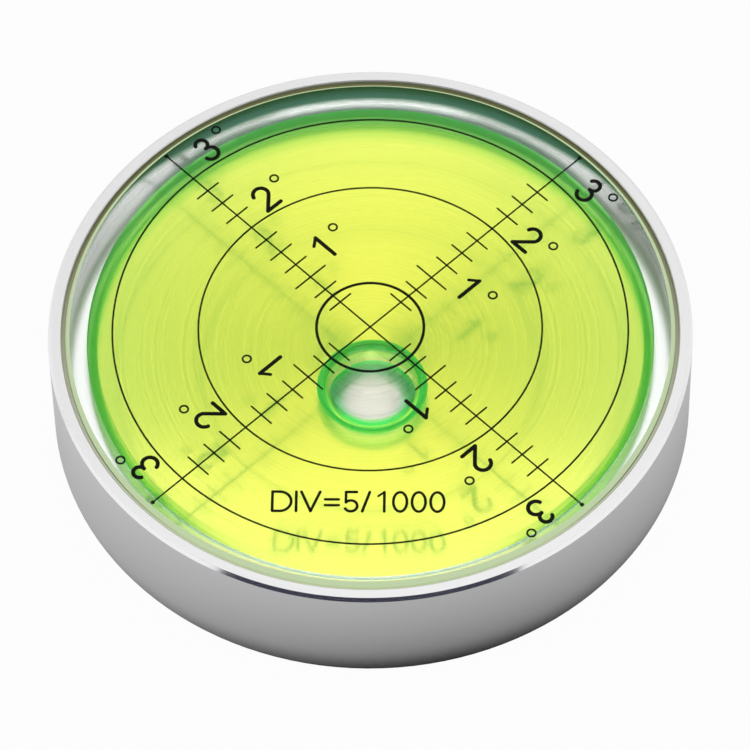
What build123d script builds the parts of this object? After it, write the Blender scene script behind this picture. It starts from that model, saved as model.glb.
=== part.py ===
from build123d import *
import os
from math import radians, sqrt, tan

# Bullseye level, 60 mm across and 12 mm high. A clear round vial of dyed spirit sits in
# a turned aluminium case, with a printed scale on its lens.
# Z is up. The origin is the centre of the flat underside.

# Case, turned from bar
case_diameter = 60.0
case_height = 12.0
rim_wall = 1.25
edge_break = 0.3
bore_break = 0.1

# Vial, a moulded cup with a lens bonded on its rim
bond_gap = 0.35
vial_proud = 0.1
vial_wall = 1.95
lens_edge = 2.75
lens_chamfer = 0.4
cup_depth = 1.85
cup_floor = 0.85
cup_corner = 1.0

# Adhesive round the vial, and how far it stays below the chamfer of the lens
bond_recess = 0.2

# Bubble, pressed flat between the lens and the cup's floor, off centre on a slight slope.
# Its side bulges by a share of half its height: 1 would be a half circle.
bubble_radius = 5.15
bubble_roundness = 0.865
bubble_film = 0.15
bubble_x = 0.25
bubble_y = -5.3

# Scale: one degree of tilt moves the bubble by one degree step. The outermost ring stays
# clear of the lens's edge by the width of a band for its numbers.
degrees_shown = 3
divisions_per_degree = 4
number_band = 4.0
centre_ring_radius = 5.0
centre_ring_line = 0.26
ring_line = 0.17
arm_line = 0.15
arm_inset = 0.1
arm_dot_radius = 0.2
tick_line = 0.16
tick_length = 2.8
degree_tick_length = 3.95
ink_height = 0.04

# Numbers beside each arm
digit_height = 3.0
digit_pen = 0.38
digit_side = 3.25
digit_lift = 0.1
degree_sign_radius = 0.39
degree_sign_pen = 0.18
degree_sign_side = 5.46
degree_sign_drop = 0.45

# Legend that gives the slope of one division
legend_height = 2.36
legend_pen = 0.26
legend_gap = 0.2
legend_letter = 1.98
legend_digit = 1.5
legend_slash = 0.93
legend_centre_x = -0.82
legend_inset = 3.42

case_radius = case_diameter / 2
bore_radius = case_radius - rim_wall
vial_radius = bore_radius - bond_gap
cavity_radius = vial_radius - vial_wall
flat_radius = vial_radius - lens_chamfer
lens_top = case_height + vial_proud
lens_joint = lens_top - lens_edge
cavity_floor = lens_joint - cup_depth
vial_base = cavity_floor - cup_floor
outer_ring_radius = flat_radius - number_band
degree_step = outer_ring_radius / degrees_shown

# The lens is ground so that one degree step on its face is one degree of arc
dome_radius = degree_step / tan(radians(1))
dome_centre = lens_joint - sqrt(dome_radius**2 - cavity_radius**2)
dome_top = dome_centre + dome_radius

os.makedirs("parts", exist_ok=True)


def save(piece, name):
    piece.part.label = name
    export_step(piece.part, f"parts/{name}.step")


# Case: a cup with a thick flat floor

with BuildPart() as case:
    with BuildSketch(Plane.XZ):
        with BuildLine():
            Polyline(
                (0, 0),
                (case_radius - edge_break, 0),
                (case_radius, edge_break),
                (case_radius, case_height - edge_break),
                (case_radius - edge_break, case_height),
                (bore_radius + bore_break, case_height),
                (bore_radius, case_height - bore_break),
                (bore_radius, vial_base),
                (0, vial_base),
                close=True,
            )
        make_face()
    revolve(axis=Axis.Z)
save(case, "case")


# Vial cup: wall and floor in one moulding, with a rounded inner corner

with BuildPart() as vial_cup:
    with BuildSketch(Plane.XZ):
        with BuildLine():
            Polyline(
                (0, cavity_floor),
                (0, vial_base),
                (vial_radius, vial_base),
                (vial_radius, lens_joint),
                (cavity_radius, lens_joint),
                (cavity_radius, cavity_floor + cup_corner),
            )
            RadiusArc(
                (cavity_radius, cavity_floor + cup_corner),
                (cavity_radius - cup_corner, cavity_floor),
                cup_corner,
            )
            Line((cavity_radius - cup_corner, cavity_floor), (0, cavity_floor))
        make_face()
    revolve(axis=Axis.Z)
save(vial_cup, "vial_cup")


# Lens: flat printed top with a chamfered edge, and a shallow dome ground in its underside

with BuildPart() as lens:
    with BuildSketch(Plane.XZ):
        with BuildLine():
            TangentArc((0, dome_top), (cavity_radius, lens_joint), tangent=(1, 0))
            Polyline(
                (cavity_radius, lens_joint),
                (vial_radius, lens_joint),
                (vial_radius, lens_top - lens_chamfer),
                (flat_radius, lens_top),
                (0, lens_top),
                (0, dome_top),
            )
        make_face()
    revolve(axis=Axis.Z)
save(lens, "lens")


# Bond ring: adhesive that fills the gap between the vial and the bore

with BuildPart() as bond_ring:
    with BuildSketch(Plane.XZ):
        with BuildLine():
            bond_top = lens_top - lens_chamfer - bond_recess
            Polyline(
                (vial_radius, vial_base),
                (bore_radius, vial_base),
                (bore_radius, bond_top),
                (vial_radius, bond_top),
                close=True,
            )
        make_face()
    revolve(axis=Axis.Z)
save(bond_ring, "bond_ring")


# Space inside the vial, which the spirit and the bubble share

with BuildPart() as cavity:
    with BuildSketch(Plane.XZ):
        with BuildLine():
            TangentArc((0, dome_top), (cavity_radius, lens_joint), tangent=(1, 0))
            Line((cavity_radius, lens_joint), (cavity_radius, cavity_floor + cup_corner))
            RadiusArc(
                (cavity_radius, cavity_floor + cup_corner),
                (cavity_radius - cup_corner, cavity_floor),
                cup_corner,
            )
            Polyline(
                (cavity_radius - cup_corner, cavity_floor),
                (0, cavity_floor),
                (0, dome_top),
            )
        make_face()
    revolve(axis=Axis.Z)


# Bubble: its round side bulges between two flat faces, and its top follows the dome

bubble_bottom = cavity_floor + bubble_film
bubble_top = dome_centre + sqrt(dome_radius**2 - bubble_x**2 - bubble_y**2)
bubble_middle = (bubble_bottom + bubble_top) / 2
bubble_contact = bubble_radius - bubble_roundness * (bubble_top - bubble_bottom) / 2

with BuildPart() as bubble:
    with BuildSketch(Plane((bubble_x, bubble_y, 0), x_dir=(1, 0, 0), z_dir=(0, -1, 0))):
        with BuildLine():
            ThreePointArc(
                (bubble_contact, bubble_bottom),
                (bubble_radius, bubble_middle),
                (bubble_contact, bubble_top),
            )
            Polyline(
                (bubble_contact, bubble_top),
                (bubble_contact, lens_top),
                (0, lens_top),
                (0, bubble_bottom),
                (bubble_contact, bubble_bottom),
            )
        make_face()
    revolve(axis=Axis((bubble_x, bubble_y, 0), (0, 0, 1)))
    add(cavity.part, mode=Mode.INTERSECT)
save(bubble, "bubble")


# Spirit: what is left of the space round the bubble

with BuildPart() as spirit:
    add(cavity.part)
    add(bubble.part, mode=Mode.SUBTRACT)
save(spirit, "spirit")


# Pen strokes with round ends, for print

def pen_line(start, end, pen):
    SlotArc(Edge.make_line(start, end), pen)


def pen_arc(centre, radius, start_angle, turn, pen):
    bow = Edge.make_circle(radius, start_angle=start_angle, end_angle=start_angle + turn)
    SlotArc(bow.moved(Location(centre)), pen)


def pen_ring(radius, line):
    Circle(radius + line / 2)
    Circle(radius - line / 2, mode=Mode.SUBTRACT)


# Numbers. Each one stands on y = 0, centred on x = 0.

def digit_one(height, pen):
    stem = height * 0.06
    pen_line((stem, pen / 2), (stem, height - pen / 2), pen)
    pen_line((stem, height - pen / 2), (-height * 0.2, height * 0.73), pen * 0.8)


def digit_two(height, pen):
    bow = height * 0.25
    middle = height - pen / 2 - bow
    end = Vector(bow, 0).rotate(Axis.Z, -35) + Vector(0, middle)
    foot = height * 0.28
    pen_arc((0, middle), bow, -35, 200, pen)
    pen_line(end, (-foot, pen / 2), pen)
    pen_line((-foot, pen / 2), (foot, pen / 2), pen)


def digit_three(height, pen):
    upper = height * 0.195
    lower = (height - pen) / 2 - upper
    pen_arc((0, height - pen / 2 - upper), upper, -90, 245, pen)
    pen_arc((0, pen / 2 + lower), lower, -165, 255, pen)


# Letters of the legend. Each one stands on y = 0 and starts at x = 0.

def letter_d(width, height, pen):
    bow = (height - pen) / 2
    bow_start = width - pen / 2 - bow
    pen_line((pen / 2, pen / 2), (pen / 2, height - pen / 2), pen)
    for bar in (pen / 2, height - pen / 2):
        pen_line((pen / 2, bar), (bow_start, bar), pen)
    pen_arc((bow_start, height / 2), bow, -90, 180, pen)


def letter_i(width, height, pen):
    pen_line((width / 2, pen / 2), (width / 2, height - pen / 2), pen)


def letter_v(width, height, pen):
    for side in (pen / 2, width - pen / 2):
        pen_line((side, height - pen / 2), (width / 2, pen / 2), pen)


def sign_equals(width, height, pen):
    for bar in (height * 0.33, height * 0.6):
        pen_line((pen / 2, bar), (width - pen / 2, bar), pen)


def sign_slash(width, height, pen):
    pen_line((pen / 2, pen / 2), (width - pen / 2, height - pen / 2), pen)


def legend_five(width, height, pen):
    bow = (width - pen) / 2 * 0.95
    centre = Vector(width - pen / 2 - bow, pen / 2 + bow)
    corner = Vector(width * 0.22, height - pen / 2)
    pen_arc(centre, bow, -150, 290, pen)
    pen_line(centre + Vector(bow, 0).rotate(Axis.Z, 140), corner, pen)
    pen_line(corner, (width * 0.88, height - pen / 2), pen)


def legend_one(width, height, pen):
    stem = width * 0.67
    pen_line((stem, pen / 2), (stem, height - pen / 2), pen)
    pen_line((stem, height - pen / 2), (width * 0.3, height * 0.76), pen * 0.8)


def legend_zero(width, height, pen):
    with Locations((width / 2, height / 2)):
        Ellipse(width / 2, height / 2)
        Ellipse(width / 2 - pen, height / 2 - pen, mode=Mode.SUBTRACT)


# Printed lines: rings, two crossed arms and a tick at each division

arm_count = 4
arm_start = 45
arm_reach = flat_radius - arm_inset
division = degree_step / divisions_per_degree
print_plane = Plane.XY.offset(lens_top)

with BuildPart() as scale_lines:
    with BuildSketch(print_plane):
        for degree in range(degrees_shown, 1, -1):
            pen_ring(degree * degree_step, ring_line)
        pen_ring(centre_ring_radius, centre_ring_line)
        with PolarLocations(0, arm_count // 2, start_angle=arm_start, angular_range=180):
            SlotOverall(2 * arm_reach, arm_line)
        with PolarLocations(arm_reach - arm_dot_radius, arm_count, start_angle=arm_start):
            Circle(arm_dot_radius)
        for step in range(2, degrees_shown * divisions_per_degree):
            degree = step / divisions_per_degree
            if degree > 1 and degree == int(degree):
                continue
            length = degree_tick_length if degree == 1 else tick_length
            with PolarLocations(step * division, arm_count, start_angle=arm_start):
                SlotOverall(length, tick_line, rotation=90)
    extrude(amount=ink_height)
save(scale_lines, "scale_lines")


# Printed numbers: each reads clockwise round the lens, with its head outwards

with BuildPart() as degree_numbers:
    for arm in range(arm_count):
        outwards = Vector(1, 0).rotate(Axis.Z, arm_start + arm * 360 / arm_count)
        clockwise = outwards.rotate(Axis.Z, -90)
        for degree, digit in enumerate((digit_one, digit_two, digit_three), start=1):
            base = degree * degree_step + digit_lift
            place = outwards * base + clockwise * digit_side + Vector(0, 0, lens_top)
            with BuildSketch(Plane(place, x_dir=clockwise, z_dir=(0, 0, 1))):
                digit(digit_height, digit_pen)
                with Locations((degree_sign_side - digit_side, digit_height - degree_sign_drop)):
                    pen_ring(degree_sign_radius, degree_sign_pen)
    extrude(amount=ink_height)
save(degree_numbers, "degree_numbers")


# Printed legend: five millimetres in a metre for each division

legend_text = (
    (letter_d, legend_letter),
    (letter_i, legend_pen),
    (letter_v, legend_letter),
    (sign_equals, legend_digit),
    (legend_five, legend_digit),
    (sign_slash, legend_slash),
    (legend_one, legend_digit),
    (legend_zero, legend_digit),
    (legend_zero, legend_digit),
    (legend_zero, legend_digit),
)
legend_length = sum(width + legend_gap for _, width in legend_text) - legend_gap
legend_start = Vector(
    legend_centre_x - legend_length / 2, legend_inset - outer_ring_radius, lens_top
)

with BuildPart() as legend:
    with BuildSketch(Plane(legend_start)):
        along = 0.0
        for glyph, width in legend_text:
            with Locations((along, 0)):
                glyph(width, legend_height, legend_pen)
            along += width + legend_gap
    extrude(amount=ink_height)
save(legend, "legend")

print(f"dome radius {dome_radius:.1f}, dome height {dome_top - lens_joint:.3f}")
print(f"bubble height {bubble_top - bubble_bottom:.2f}, spirit {spirit.part.volume:.0f} mm3")
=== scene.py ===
from math import asin, cos, degrees, pi, radians, sin, sqrt

import bpy
from mathutils import Matrix, Vector

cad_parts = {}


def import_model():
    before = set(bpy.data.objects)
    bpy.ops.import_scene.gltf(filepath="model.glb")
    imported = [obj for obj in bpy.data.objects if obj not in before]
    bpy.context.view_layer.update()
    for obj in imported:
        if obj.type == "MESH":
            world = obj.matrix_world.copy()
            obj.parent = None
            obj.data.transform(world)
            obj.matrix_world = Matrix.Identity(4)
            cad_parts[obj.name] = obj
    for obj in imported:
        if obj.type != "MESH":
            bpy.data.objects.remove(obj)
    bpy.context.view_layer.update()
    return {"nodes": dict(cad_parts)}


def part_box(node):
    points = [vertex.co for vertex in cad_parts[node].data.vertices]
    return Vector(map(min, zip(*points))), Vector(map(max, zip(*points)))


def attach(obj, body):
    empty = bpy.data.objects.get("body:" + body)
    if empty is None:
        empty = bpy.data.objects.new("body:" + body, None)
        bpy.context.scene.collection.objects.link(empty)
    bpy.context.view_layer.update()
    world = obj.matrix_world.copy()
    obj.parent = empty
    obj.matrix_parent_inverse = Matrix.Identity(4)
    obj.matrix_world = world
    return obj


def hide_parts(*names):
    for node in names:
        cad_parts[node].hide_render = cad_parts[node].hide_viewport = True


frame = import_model()
MM = 0.001


# Sizes of the CAD nodes, in millimetres


def span(node):
    """The lowest and the highest corner of a node's box."""
    low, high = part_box(node)
    return low / MM, high / MM


CASE_HIGH = span("case")[1]
CUP_LOW = span("vial_cup")[0]
LENS_LOW, LENS_HIGH = span("lens")
SPIRIT_LOW, SPIRIT_HIGH = span("spirit")
BUBBLE_LOW, BUBBLE_HIGH = span("bubble")

CASE_RADIUS = CASE_HIGH.x
RIM_HEIGHT = CASE_HIGH.z
VIAL_RADIUS = LENS_HIGH.x
LENS_TOP = LENS_HIGH.z
LENS_JOINT = LENS_LOW.z
VIAL_BASE = CUP_LOW.z
CAVITY_RADIUS = SPIRIT_HIGH.x
CAVITY_FLOOR = SPIRIT_LOW.z
DOME_TOP = SPIRIT_HIGH.z
DOME_HEIGHT = DOME_TOP - LENS_JOINT
DOME_RADIUS = (CAVITY_RADIUS**2 + DOME_HEIGHT**2) / (2 * DOME_HEIGHT)
BUBBLE_RADIUS = (BUBBLE_HIGH.x - BUBBLE_LOW.x) / 2
BUBBLE_CENTRE = (BUBBLE_HIGH + BUBBLE_LOW) / 2

# Sizes that the boxes don't give, as the CAD part has them
EDGE_BREAK = 0.3
LENS_CHAMFER = 0.4
CUP_CORNER = 1.0
BUBBLE_ROUNDNESS = 0.865

# Thin gaps that keep skins apart
SEAT_GAP = 0.01
PRINT_GAP = 0.004
BUBBLE_GAP = 0.01
DOME_FILM = 0.04

# Refractive indices
ACRYLIC_INDEX = 1.49
SPIRIT_INDEX = 1.39

# Fineness of the turned meshes
STEPS_ROUND = 288
STEPS_DOME = 24
STEPS_CORNER = 10
STEPS_BUBBLE = 24
SHARP_ANGLE = 25


# Objects and meshes


def add_object(name, data):
    thing = bpy.data.objects.new(name, data)
    bpy.context.scene.collection.objects.link(thing)
    return thing


def rectangle(name, width, depth):
    """A flat face round the object's own origin."""
    x, y = width / 2, depth / 2
    mesh = bpy.data.meshes.new(name)
    mesh.from_pydata([(-x, -y, 0), (x, -y, 0), (x, y, 0), (-x, y, 0)], [], [(0, 1, 2, 3)])
    return add_object(name, mesh)


def shade_smooth(mesh):
    """Smooth shading, with the sharp edges kept."""
    mesh.polygons.foreach_set("use_smooth", [True] * len(mesh.polygons))
    mesh.set_sharp_from_angle(angle=radians(SHARP_ANGLE))


def arc(centre, radius, start, end, steps):
    """Points of an arc in a profile, with its angles in degrees."""
    points = []
    for step in range(steps + 1):
        angle = radians(start + (end - start) * step / steps)
        points.append((centre[0] + radius * cos(angle), centre[1] + radius * sin(angle)))
    return points


def ring_of(vertices, radius, height, centre, bend):
    """Adds one ring of a turned mesh, or one point on its axis, and returns its indices."""
    start = len(vertices)
    count = STEPS_ROUND if radius else 1
    for step in range(count):
        angle = 2 * pi * step / STEPS_ROUND
        spot = Vector((centre.x + radius * cos(angle), centre.y + radius * sin(angle), height))
        vertices.append(bend(spot) * MM)
    return range(start, start + count)


def turned(name, profile, centre=Vector((0, 0, 0)), bend=lambda spot: spot):
    """A mesh turned from a profile of (radius, height), counter-clockwise for an outer skin."""
    vertices = []
    faces = []
    rings = [ring_of(vertices, radius, height, centre, bend) for radius, height in profile]
    for low, high in zip(rings, rings[1:]):
        for step in range(STEPS_ROUND):
            after = step + 1
            corners = (
                low[step % len(low)],
                low[after % len(low)],
                high[after % len(high)],
                high[step % len(high)],
            )
            faces.append(list(dict.fromkeys(corners)))
    mesh = bpy.data.meshes.new(name)
    mesh.from_pydata(vertices, [], faces)
    shade_smooth(mesh)
    return add_object(name, mesh)


def join(target, other):
    """Adds the other object's mesh to the target's."""
    joined = bpy.data.meshes.new(target.name)
    vertices = [vertex.co.copy() for mesh in (target.data, other.data) for vertex in mesh.vertices]
    offset = len(target.data.vertices)
    faces = [list(face.vertices) for face in target.data.polygons]
    faces += [[index + offset for index in face.vertices] for face in other.data.polygons]
    joined.from_pydata(vertices, [], faces)
    shade_smooth(joined)
    target.data = joined
    bpy.data.objects.remove(other)


# Vial, spirit and bubble

# The vial's edge is frosted from its chamfer down to a foot, which is lowest at the back, so its
# painted green glow and shade reach lowest there
FROST_FOOT = 6.1
FROST_FADE = 2.4
FROST_RISE = 2.5
FROST_RISE_SPAN = (25, 15)

# A face whose normal points up or down by more than this is a flat end
FLAT_END = 0.9


def dome_z(radius):
    return DOME_TOP - DOME_RADIUS + sqrt(DOME_RADIUS**2 - radius**2)


def vial_profile():
    """Outer skin of the bonded lens and cup."""
    radius = VIAL_RADIUS - SEAT_GAP
    base = VIAL_BASE + SEAT_GAP
    top = LENS_TOP - PRINT_GAP
    return [
        (0, base),
        (radius, base),
        (radius, FROST_FOOT),
        (radius, top - LENS_CHAMFER),
        (radius - LENS_CHAMFER, top),
        (0, top),
    ]


def cavity_profile():
    """Skin of the spirit, from the middle of the floor to the middle of the dome."""
    corner = (CAVITY_RADIUS - CUP_CORNER, CAVITY_FLOOR + CUP_CORNER)
    dome = []
    for step in range(STEPS_DOME + 1):
        radius = CAVITY_RADIUS * (1 - step / STEPS_DOME)
        dome.append((radius, dome_z(radius)))
    return [(0, CAVITY_FLOOR), *arc(corner, CUP_CORNER, -90, 0, STEPS_CORNER), *dome]


def bubble_profile(inset):
    """Half outline of the flattened bubble round its own axis, drawn in by an inset."""
    bottom = BUBBLE_LOW.z
    top = DOME_TOP - DOME_FILM
    half = (top - bottom) / 2
    bulge = BUBBLE_ROUNDNESS * half
    side_radius = (half**2 + bulge**2) / (2 * bulge)
    side_centre = (BUBBLE_RADIUS - side_radius, (top + bottom) / 2)
    reach = degrees(asin((half - inset) / (side_radius - inset)))
    side = arc(side_centre, side_radius - inset, -reach, reach, STEPS_BUBBLE)
    return [(0, side[0][1]), *side, (0, side[-1][1])]


def under_dome(spot):
    """Bends the flat top of the bubble to follow the dome."""
    bottom = BUBBLE_LOW.z
    share = (spot.z - bottom) / (DOME_TOP - bottom)
    drop = DOME_TOP - dome_z(sqrt(spot.x**2 + spot.y**2))
    return Vector((spot.x, spot.y, spot.z - share * drop))


def on_frosted_edge(face):
    """True for a face of the vial's chamfer, or of its upright edge above the frosting's foot."""
    height = face.center.z / MM
    return abs(face.normal.z) < FLAT_END and height > FROST_FOOT


def make_vial():
    shell = turned("vial_shell", vial_profile())
    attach(shell, "root")
    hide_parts("lens", "vial_cup")
    return shell


def make_spirit():
    spirit = turned("spirit_body", cavity_profile())
    hollow = turned("hollow", bubble_profile(0)[::-1], BUBBLE_CENTRE, under_dome)
    join(spirit, hollow)
    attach(spirit, "root")
    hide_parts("spirit")
    return spirit


def make_bubble():
    bubble = turned("air_bubble", bubble_profile(BUBBLE_GAP), BUBBLE_CENTRE, under_dome)
    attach(bubble, "root")
    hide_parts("bubble")
    return bubble


# Node trees


class Nodes:
    """The node tree of a new material or world, with short ways to add and link nodes."""

    def __init__(self, owner, output="OutputMaterial"):
        owner.use_nodes = True
        self.owner = owner
        self.tree = owner.node_tree
        self.tree.nodes.clear()
        self.output = self.add(output)

    def add(self, kind, settings=None, **inputs):
        node = self.tree.nodes.new("ShaderNode" + kind)
        for key, value in (settings or {}).items():
            setattr(node, key, value)
        for key, value in inputs.items():
            self.put(node, key.replace("_", " "), value)
        return node

    def put(self, node, key, value):
        """Sets or links an input, given by its name or its index."""
        socket = node.inputs[key]
        if isinstance(value, bpy.types.NodeSocket):
            self.tree.links.new(value, socket)
        else:
            socket.default_value = value

    def math(self, operation, first, second=0.0):
        node = self.add("Math", {"operation": operation})
        self.put(node, 0, first)
        self.put(node, 1, second)
        return node.outputs[0]

    def axes(self):
        """The three parts of a place on the object, in metres."""
        node = self.add("SeparateXYZ")
        self.put(node, 0, self.add("TexCoord").outputs["Object"])
        return node.outputs

    def distance(self, place, centre):
        """Distance of a place from a centre, in metres."""
        node = self.add("VectorMath", {"operation": "DISTANCE"})
        self.put(node, 0, place)
        self.put(node, 1, centre)
        return node.outputs["Value"]

    def distance_in_plan(self, axes, centre=Vector((0, 0, 0))):
        """Distance in metres from an upright axis, whose centre is in millimetres."""
        flat = self.add("CombineXYZ")
        self.put(flat, 0, axes[0])
        self.put(flat, 1, axes[1])
        return self.distance(flat.outputs[0], (centre.x * MM, centre.y * MM, 0))

    def spread(self, value, source, target, kind):
        """Carries a value from its source span to a target span."""
        node = self.add("MapRange", {"interpolation_type": kind}, Value=value)
        for key, number in zip(("From Min", "From Max", "To Min", "To Max"), (*source, *target)):
            self.put(node, key, number)
        return node.outputs["Result"]

    def ramp(self, value, start, end):
        """Rises smoothly from 0 to 1 as a length in metres passes from start to end, in mm."""
        return self.spread(value, (start * MM, end * MM), (0.0, 1.0), "SMOOTHSTEP")

    def blend(self, share, first, second):
        """A colour that goes from the first to the second as the share goes from 0 to 1."""
        node = self.add("Mix", {"data_type": "RGBA"})
        self.put(node, 0, share)
        self.put(node, 6, first)
        self.put(node, 7, second)
        return node.outputs[2]

    def mix(self, share, first, second):
        """A shader that goes from the first to the second as the share goes from 0 to 1."""
        node = self.add("MixShader")
        self.put(node, 0, share)
        self.put(node, 1, first.outputs[0])
        self.put(node, 2, second.outputs[0])
        return node

    def surface(self, shader):
        self.tree.links.new(shader.outputs[0], self.output.inputs["Surface"])

    def volume(self, shader):
        self.tree.links.new(shader.outputs[0], self.output.inputs["Volume"])


def new_material(name):
    return Nodes(bpy.data.materials.new(name))


def dress(piece, material):
    piece.data.materials.clear()
    piece.data.materials.append(material)


def lit(red, green, blue):
    """A colour as read from a screen, 0 to 255, in linear light."""
    linear = [((part / 255 + 0.055) / 1.055) ** 2.4 for part in (red, green, blue)]
    return (*linear, 1.0)


WHITE = (1, 1, 1, 1)


# Clear and frosted acrylic; the frosted edge carries painted glow and painted shade

LENS_GLARE = (0.15, 0.15, 0.15, 1)
# Painted shade and glow: dark greens on the upright edge, a pale lit green towards the front and
# on the chamfer
FROST_SHADE_LOW = lit(80, 128, 114)
FROST_SHADE_HIGH = lit(40, 86, 40)
FROST_LIT_PALE = lit(196, 214, 172)
FROST_HIGH_FROM_TOP = 1.0
FROST_PALE_SPAN = (-14, -24)
FROST_CHAMFER_BLUR = 0.05
FROST_PAINTED_GLOW = 0.4


def acrylic():
    nodes = new_material("clear_acrylic")
    shader = nodes.add("BsdfPrincipled", Base_Color=WHITE, Roughness=0.0, IOR=ACRYLIC_INDEX)
    nodes.put(shader, "Transmission Weight", 1.0)
    nodes.put(shader, "Specular Tint", LENS_GLARE)
    nodes.surface(shader)
    return nodes.owner


def frosted_edge_painted_glow():
    """Frosted edge of the vial with painted green glow and shade: darker high up, pale at the
    front and chamfer.
    """
    nodes = new_material("frosted_edge_painted_glow")
    axes = nodes.axes()
    height = axes[2]
    rise = nodes.math("MULTIPLY", nodes.ramp(axes[1], *FROST_RISE_SPAN), FROST_RISE * MM)
    level = nodes.math("SUBTRACT", height, rise)
    frosted = nodes.ramp(level, FROST_FOOT, FROST_FOOT + FROST_FADE)
    upper = nodes.ramp(height, FROST_FOOT + FROST_FADE, LENS_TOP - FROST_HIGH_FROM_TOP)
    wall = nodes.blend(upper, FROST_SHADE_LOW, FROST_SHADE_HIGH)
    wall = nodes.blend(nodes.ramp(axes[1], *FROST_PALE_SPAN), wall, FROST_LIT_PALE)
    chamfer_foot = LENS_TOP - LENS_CHAMFER
    on_chamfer = nodes.ramp(height, chamfer_foot - FROST_CHAMFER_BLUR, chamfer_foot)
    green = nodes.blend(on_chamfer, wall, FROST_LIT_PALE)
    shader = nodes.add("BsdfPrincipled", Roughness=0.0, IOR=ACRYLIC_INDEX)
    nodes.put(shader, "Base Color", nodes.blend(frosted, WHITE, green))
    nodes.put(shader, "Transmission Weight", nodes.math("SUBTRACT", 1.0, frosted))
    nodes.put(shader, "Emission Color", green)
    # Painted glow: the frosted edge gives out its green light, though it is no lamp
    nodes.put(shader, "Emission Strength", nodes.math("MULTIPLY", frosted, FROST_PAINTED_GLOW))
    nodes.put(shader, "Specular IOR Level", 0.0)
    nodes.surface(shader)
    nodes.owner.cycles.emission_sampling = "NONE"
    return nodes.owner


# Spirit: its dye takes colour from light, and it has a painted green glow of its own

DYE_COLOUR = (0.955, 0.82, 0.03, 1)
DYE_DENSITY = 480.0
# Painted shade: a green filter on the spirit's upright edge, fading out at the front
EDGE_SHADE_TINT = (0.54, 0.78, 0.48, 1)
EDGE_TINT_SPAN = (CAVITY_RADIUS - 1.0, CAVITY_RADIUS - 0.85)
EDGE_SHADE_FRONT_SPAN = (-25, -17)
PAINTED_GLOW_COLOUR = (0.09, 1.0, 0.16, 1)
GLOW_OPEN = 0.12
GLOW_OPEN_SPAN = (BUBBLE_RADIUS - 1.1, BUBBLE_RADIUS - 0.3)
GLOW_BUBBLE = 0.026
GLOW_BUBBLE_SPAN = (BUBBLE_RADIUS + 0.1, BUBBLE_RADIUS + 0.02)
GLOW_BUBBLE_LOW = 0.05
GLOW_LOW_SPAN = (BUBBLE_CENTRE.z, BUBBLE_CENTRE.z - 0.5)
GLOW_FLOOR_SPAN = (CAVITY_FLOOR + 0.16, CAVITY_FLOOR + 0.3)
GLOW_DOME_SPAN = (DOME_TOP - 0.2, DOME_TOP - 0.4)


def spirit_painted_glow(nodes, axes):
    """Strength of the painted glow: clear of the bubble and on the bubble's side, not under it."""
    height = axes[2]
    from_bubble = nodes.distance_in_plan(axes, BUBBLE_CENTRE)
    open_liquid = nodes.math("MULTIPLY", nodes.ramp(from_bubble, *GLOW_OPEN_SPAN), GLOW_OPEN)
    low = nodes.math("MULTIPLY", nodes.ramp(height, *GLOW_LOW_SPAN), GLOW_BUBBLE_LOW)
    above_floor = nodes.ramp(height, *GLOW_FLOOR_SPAN)
    side = nodes.math("MULTIPLY", above_floor, nodes.ramp(height, *GLOW_DOME_SPAN))
    side = nodes.math("MULTIPLY", side, nodes.ramp(from_bubble, *GLOW_BUBBLE_SPAN))
    side = nodes.math("MULTIPLY", side, nodes.math("ADD", low, GLOW_BUBBLE))
    return nodes.math("ADD", open_liquid, side)


def spirit_liquid():
    """Spirit with painted green shade round its edge, which fades out at the front, and a painted
    glow.
    """
    nodes = new_material("dyed_spirit")
    axes = nodes.axes()
    at_edge = nodes.ramp(nodes.distance_in_plan(axes), *EDGE_TINT_SPAN)
    edge_shade = nodes.math("MULTIPLY", at_edge, nodes.ramp(axes[1], *EDGE_SHADE_FRONT_SPAN))
    clear = nodes.add("BsdfGlass", Roughness=0.0, IOR=SPIRIT_INDEX / ACRYLIC_INDEX)
    nodes.put(clear, "Color", nodes.blend(edge_shade, WHITE, EDGE_SHADE_TINT))
    # Painted glow: the spirit's skin gives out green light of its own
    glow = nodes.add("Emission", Color=PAINTED_GLOW_COLOUR, Strength=spirit_painted_glow(nodes, axes))
    both = nodes.add("AddShader")
    nodes.put(both, 0, clear.outputs[0])
    nodes.put(both, 1, glow.outputs[0])
    nodes.surface(both)
    nodes.volume(nodes.add("VolumeAbsorption", Color=DYE_COLOUR, Density=DYE_DENSITY))
    nodes.owner.cycles.emission_sampling = "NONE"
    return nodes.owner


# Air: painted green shade at the foot of the bubble, on its bulging side and in a ring round it

BUBBLE_FOOT = BUBBLE_RADIUS - BUBBLE_ROUNDNESS * (DOME_TOP - DOME_FILM - BUBBLE_LOW.z) / 2
FOOT_SHADE_TINT = (0.14, 0.95, 0.42, 1)
FOOT_SPAN = (BUBBLE_FOOT - 1.8, BUBBLE_FOOT)
FOOT_HEIGHT_SPAN = (BUBBLE_CENTRE.z, BUBBLE_CENTRE.z - 0.3)
BULGE_SHADE_TINT = (0.84, 0.92, 0.62, 1)
BULGE_SPAN = (BUBBLE_FOOT, BUBBLE_FOOT + 0.1)
RING_SHADE_TINT = (0.16, 0.52, 0.36, 1)
RING_SPAN = (BUBBLE_RADIUS - 0.34, BUBBLE_RADIUS - 0.18)


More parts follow.
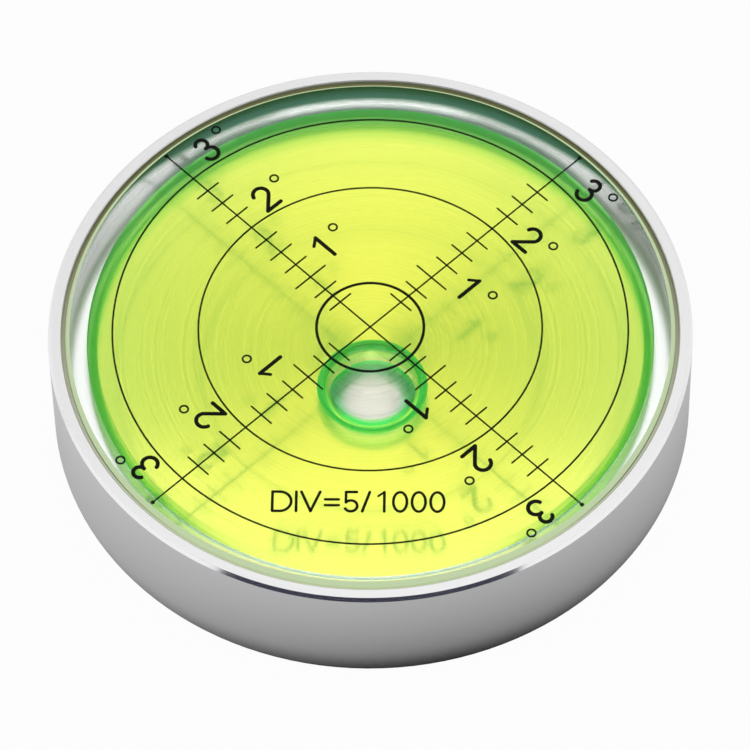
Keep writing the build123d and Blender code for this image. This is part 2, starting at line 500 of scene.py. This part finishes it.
def air():
    """Air, whose skin carries painted green shade."""
    nodes = new_material("air")
    axes = nodes.axes()
    out = nodes.distance_in_plan(axes, BUBBLE_CENTRE)
    low = nodes.ramp(axes[2], *FOOT_HEIGHT_SPAN)
    at_foot = nodes.math("MULTIPLY", nodes.ramp(out, *FOOT_SPAN), low)
    tint = nodes.blend(at_foot, WHITE, FOOT_SHADE_TINT)
    tint = nodes.blend(nodes.ramp(out, *BULGE_SPAN), tint, BULGE_SHADE_TINT)
    tint = nodes.blend(nodes.ramp(out, *RING_SPAN), tint, RING_SHADE_TINT)
    # Painted shade: the bubble's skin filters what is seen through it green and darker
    shader = nodes.add("BsdfGlass", Color=tint, Roughness=0.0, IOR=1 / ACRYLIC_INDEX)
    nodes.surface(shader)
    return nodes.owner


# Ink and adhesive

INK_COLOUR = (0.003, 0.004, 0.002, 1)
INK_ROUGHNESS = 0.5
INK_GLOSS = 0.08
# Painted light and shade on the adhesive: darker brown at the back, pale at the front
ADHESIVE_SHADED_BACK = lit(128, 128, 76)
ADHESIVE_LIT_FRONT = lit(238, 238, 216)
ADHESIVE_LIGHT_SPAN = (18, -24)
ADHESIVE_ROUGHNESS = 0.35


def ink():
    nodes = new_material("black_ink")
    shader = nodes.add("BsdfPrincipled", Base_Color=INK_COLOUR, Roughness=INK_ROUGHNESS)
    nodes.put(shader, "Specular IOR Level", INK_GLOSS)
    nodes.surface(shader)
    return nodes.owner


def adhesive():
    """Amber adhesive with painted light: pale at the front, and a painted shade of darker brown at
    the back.
    """
    nodes = new_material("amber_adhesive")
    front = nodes.ramp(nodes.axes()[1], *ADHESIVE_LIGHT_SPAN)
    shader = nodes.add("BsdfPrincipled", Roughness=ADHESIVE_ROUGHNESS)
    nodes.put(shader, "Base Color", nodes.blend(front, ADHESIVE_SHADED_BACK, ADHESIVE_LIT_FRONT))
    nodes.surface(shader)
    return nodes.owner


# Turned aluminium: sharp outside, satin on the rim with painted shade, a mix of sharp and wide in
# the bore

METAL_COLOUR = (0.87, 0.87, 0.88, 1)
# Satin rim: its rougher finish is real, its darker tone than the rest of the aluminium is painted
# shade
RIM_SHADED_COLOUR = (0.65, 0.65, 0.65, 1)
SHARP_ROUGHNESS = 0.16
WIDE_ROUGHNESS = 0.46
RIM_ROUGHNESS = 0.38
GROOVED = 0.8
GROOVE_TURN = 0.25
FINE_SCALE = 9000.0
FINE_DETAIL = 3.0
BROAD_SCALE = 3000.0
BROAD_DETAIL = 5.0
BUMP_STRENGTH = 0.08
BUMP_DEPTH = 0.00002

# Share of the wide scatter: in the bore beside the spirit, and in bands under the spirit,
# where it is less toward the front, so that the print mirrors more clearly there
STREAKS_AT_WALL = 0.52
STREAKS_IN_BANDS = (0.84, 0.96)
BAND_NOISE_SPAN = (0.3, 0.7)
CLEARER_SHARE = 0.24
CLEARER_SPAN = (-8, -17)
UNDER_SPIRIT_SPAN = (CAVITY_RADIUS + 0.5, CAVITY_RADIUS - 0.5)
IN_BORE_SPAN = (VIAL_RADIUS + 0.2, VIAL_RADIUS)
RIM_IN_SPAN = (VIAL_RADIUS + 0.1, VIAL_RADIUS + 0.3)
RIM_OUT_SPAN = (CASE_RADIUS - EDGE_BREAK + 0.03, CASE_RADIUS - EDGE_BREAK - 0.03)


def brushed(nodes, roughness, normal, tangent):
    shader = nodes.add("BsdfPrincipled", Roughness=roughness, Metallic=1.0)
    nodes.put(shader, "Base Color", METAL_COLOUR)
    nodes.put(shader, "Anisotropic", GROOVED)
    nodes.put(shader, "Anisotropic Rotation", GROOVE_TURN)
    nodes.put(shader, "Tangent", tangent)
    nodes.put(shader, "Normal", normal)
    return shader


def turning_marks(nodes, across, scale, detail):
    """Rings of noise, which change only with the distance across the grooves."""
    noise = nodes.add("TexNoise", {"noise_dimensions": "1D"}, W=across, Scale=scale, Detail=detail)
    return noise.outputs[0]


def wide_share(nodes, radius, along, marks):
    """How much of the bore scatters widely. The outside doesn't."""
    bands = nodes.spread(marks, BAND_NOISE_SPAN, STREAKS_IN_BANDS, "LINEAR")
    clearer = nodes.math("MULTIPLY", nodes.ramp(along, *CLEARER_SPAN), CLEARER_SHARE)
    streaks = nodes.math("SUBTRACT", bands, clearer)
    under_spirit = nodes.ramp(radius, *UNDER_SPIRIT_SPAN)
    more = nodes.math("MULTIPLY", under_spirit, nodes.math("SUBTRACT", streaks, STREAKS_AT_WALL))
    in_bore = nodes.ramp(radius, *IN_BORE_SPAN)
    return nodes.math("MULTIPLY", in_bore, nodes.math("ADD", more, STREAKS_AT_WALL))


def on_rim(nodes, radius):
    """1 on the flat rim of the case, 0 elsewhere."""
    inner = nodes.ramp(radius, *RIM_IN_SPAN)
    return nodes.math("MULTIPLY", inner, nodes.ramp(radius, *RIM_OUT_SPAN))


def aluminium():
    nodes = new_material("turned_aluminium")
    axes = nodes.axes()
    radius = nodes.distance_in_plan(axes)
    across = nodes.math("ADD", radius, axes[2])
    fine = turning_marks(nodes, across, FINE_SCALE, FINE_DETAIL)
    broad = turning_marks(nodes, across, BROAD_SCALE, BROAD_DETAIL)
    bump = nodes.add("Bump", Strength=BUMP_STRENGTH, Distance=BUMP_DEPTH, Height=fine).outputs[0]
    tangent = nodes.add("Tangent", {"direction_type": "RADIAL", "axis": "Z"}).outputs[0]
    sharp = brushed(nodes, SHARP_ROUGHNESS, bump, tangent)
    wide = brushed(nodes, WIDE_ROUGHNESS, bump, tangent)
    faces = nodes.mix(wide_share(nodes, radius, axes[1], broad), sharp, wide)
    satin = nodes.add("BsdfPrincipled", Roughness=RIM_ROUGHNESS, Metallic=1.0, Normal=bump)
    nodes.put(satin, "Base Color", RIM_SHADED_COLOUR)
    nodes.surface(nodes.mix(on_rim(nodes, radius), faces, satin))
    return nodes.owner


# Stage: floor, world, softboxes and dark cards, plain but for painted shade on the floor in
# reflections

FLOOR_SIZE = 6.0
FLOOR_MATTE = (0.8, 0.8, 0.8, 1)
FLOOR_WHITE_SHARE = 0.96
WORLD_LIGHT = 0.6

# Painted soft shade on the floor, seen only in reflections, and a painted dark line under the case
SHADE_CENTRE = (0.002, -0.008, 0)
SHADE_RADIUS = 21.8
SHADE_REACH = 16.5
SHADE_CURVE = 0.6
CONTACT_CENTRE = (0.0003, -0.0025, 0)
CONTACT_RADIUS = 27.1
CONTACT_REACH = 2.5
CONTACT_LIGHT = 0.1


def background_rays(nodes, path):
    """1 for the rays that show the white background: camera, transmission and glossy rays."""
    seen = nodes.math("MAXIMUM", path["Is Camera Ray"], path["Is Transmission Ray"])
    return nodes.math("MAXIMUM", seen, path["Is Glossy Ray"])


def soft_shade(nodes):
    """Brightness of the floor in reflections: darker towards the foot of the case."""
    place = nodes.add("TexCoord").outputs["Object"]
    from_contact = nodes.distance(place, CONTACT_CENTRE)
    contact_span = (CONTACT_RADIUS * MM, (CONTACT_RADIUS + CONTACT_REACH) * MM)
    near = nodes.spread(from_contact, contact_span, (CONTACT_LIGHT, 1.0), "SMOOTHSTEP")
    away = nodes.math("SUBTRACT", nodes.distance(place, SHADE_CENTRE), SHADE_RADIUS * MM)
    away = nodes.math("DIVIDE", nodes.math("MAXIMUM", away, 0.0), SHADE_REACH * MM)
    away = nodes.math("POWER", away, SHADE_CURVE)
    faded = nodes.math("EXPONENT", nodes.math("MULTIPLY", away, -1.0))
    return nodes.math("MULTIPLY", nodes.math("SUBTRACT", 1.0, faded), near)


def floor():
    plane = rectangle("floor", FLOOR_SIZE, FLOOR_SIZE)
    nodes = new_material("floor_white")
    path = nodes.add("LightPath").outputs
    strength = nodes.add("Mix")
    nodes.put(strength, 0, path["Is Glossy Ray"])
    nodes.put(strength, 2, 1.0)
    nodes.put(strength, 3, soft_shade(nodes))
    white = nodes.add("Emission", Color=WHITE, Strength=strength.outputs[0])
    matte = nodes.add("BsdfDiffuse", Color=FLOOR_MATTE)
    share = nodes.math("MULTIPLY", background_rays(nodes, path), FLOOR_WHITE_SHARE)
    nodes.surface(nodes.mix(share, matte, white))
    dress(plane, nodes.owner)


def world():
    made = bpy.data.worlds.new("studio")
    bpy.context.scene.world = made
    nodes = Nodes(made, "OutputWorld")
    seen = background_rays(nodes, nodes.add("LightPath").outputs)
    strength = nodes.spread(seen, (0.0, 1.0), (WORLD_LIGHT, 1.0), "LINEAR")
    nodes.surface(nodes.add("Background", Color=WHITE, Strength=strength))


def aim(thing, azimuth, elevation, distance):
    """Puts a lamp or card at a direction from the object, facing it. Azimuth 0 is behind it."""
    turn, lift = radians(azimuth), radians(elevation)
    out = Vector((sin(turn) * cos(lift), cos(turn) * cos(lift), sin(lift)))
    middle = Vector((0, 0, RIM_HEIGHT * MM))
    facing = out.to_track_quat("Z", "Y").to_matrix().to_4x4()
    thing.matrix_world = Matrix.Translation(middle + out * distance) @ facing


def softbox(name, azimuth, elevation, distance, width, depth, radiance):
    """A rectangular lamp. Its power follows from its radiance and its size."""
    data = bpy.data.lights.new(name, "AREA")
    data.shape = "RECTANGLE"
    data.size = width
    data.size_y = depth
    data.energy = radiance * width * depth * pi
    aim(add_object(name, data), azimuth, elevation, distance)


def card(name, azimuth, elevation, distance, width, depth, shade):
    """A plain card that shows dark in the metal and the glass."""
    flag = rectangle(name, width, depth)
    aim(flag, azimuth, elevation, distance)
    nodes = new_material(name)
    nodes.surface(nodes.add("Emission", Color=shade, Strength=1.0))
    dress(flag, nodes.owner)


# Camera at the photograph's angle

VIEW_ELEVATION = 55.72
VIEW_TURN = 1.7
VIEW_ROLL = 1.123
VIEW_DISTANCE = 576.67
VIEW_ASIDE = Vector((0.361, -4.409))
VIEW_LENS = 297.5
VIEW_NEAR = 0.05
VIEW_FAR = 20


def camera():
    data = bpy.data.cameras.new("camera")
    data.lens = VIEW_LENS
    data.clip_start = VIEW_NEAR
    data.clip_end = VIEW_FAR
    eye = add_object("camera", data)
    lift, roll = radians(VIEW_ELEVATION), radians(VIEW_ROLL)
    back = Vector((0, -cos(lift), sin(lift)))
    right = Vector((1, 0, 0))
    up = Vector((0, sin(lift), cos(lift)))
    where = back * VIEW_DISTANCE + right * VIEW_ASIDE.x + up * VIEW_ASIDE.y
    side = right * cos(roll) - up * sin(roll)
    top = right * sin(roll) + up * cos(roll)
    axes = Matrix((side, top, back)).transposed().to_4x4()
    turn = Matrix.Rotation(radians(VIEW_TURN), 4, "Z")
    spot = Matrix.Translation((where + Vector((0, 0, RIM_HEIGHT))) * MM)
    eye.matrix_world = turn @ spot @ axes
    bpy.context.scene.camera = eye


FRONT_SHADE = (0.008, 0.009, 0.034, 1)
LEFT_SHADE = (0.03, 0.03, 0.03, 1)
RIGHT_SHADE = (0.02, 0.02, 0.02, 1)

camera()
world()
floor()
softbox("back_box", azimuth=0, elevation=53, distance=1.2, width=0.42, depth=0.56, radiance=0.86)
softbox("top_box", azimuth=0, elevation=84, distance=1.2, width=1.10, depth=0.74, radiance=0.86)
softbox("front_box", azimuth=180, elevation=61, distance=1.2, width=0.9, depth=0.50, radiance=1.02)
card("front_card", 180, 26.75, distance=1.0, width=1.6, depth=0.80, shade=FRONT_SHADE)
card("left_flag", -49, 43, distance=1.25, width=1.44, depth=0.58, shade=LEFT_SHADE)
card("left_low_flag", -56, 22, distance=1.26, width=1.00, depth=0.37, shade=LEFT_SHADE)
card("right_flag", 46, 41.5, distance=1.25, width=1.50, depth=0.51, shade=RIGHT_SHADE)
card("right_low_flag", 52, 22, distance=1.26, width=1.10, depth=0.37, shade=RIGHT_SHADE)

vial = make_vial()
dress(vial, acrylic())
vial.data.materials.append(frosted_edge_painted_glow())
for face in vial.data.polygons:
    face.material_index = int(on_frosted_edge(face))
dress(make_spirit(), spirit_liquid())
dress(make_bubble(), air())
for name in ("scale_lines", "degree_numbers", "legend"):
    dress(frame["nodes"][name], ink())
dress(frame["nodes"]["bond_ring"], adhesive())
dress(frame["nodes"]["case"], aluminium())
for name in ("case", "bond_ring"):
    shade_smooth(frame["nodes"][name].data)

scene = bpy.context.scene
scene.view_settings.view_transform = "Standard"
scene.cycles.max_bounces = 32
scene.cycles.glossy_bounces = 24
scene.cycles.transmission_bounces = 32
scene.cycles.diffuse_bounces = 6
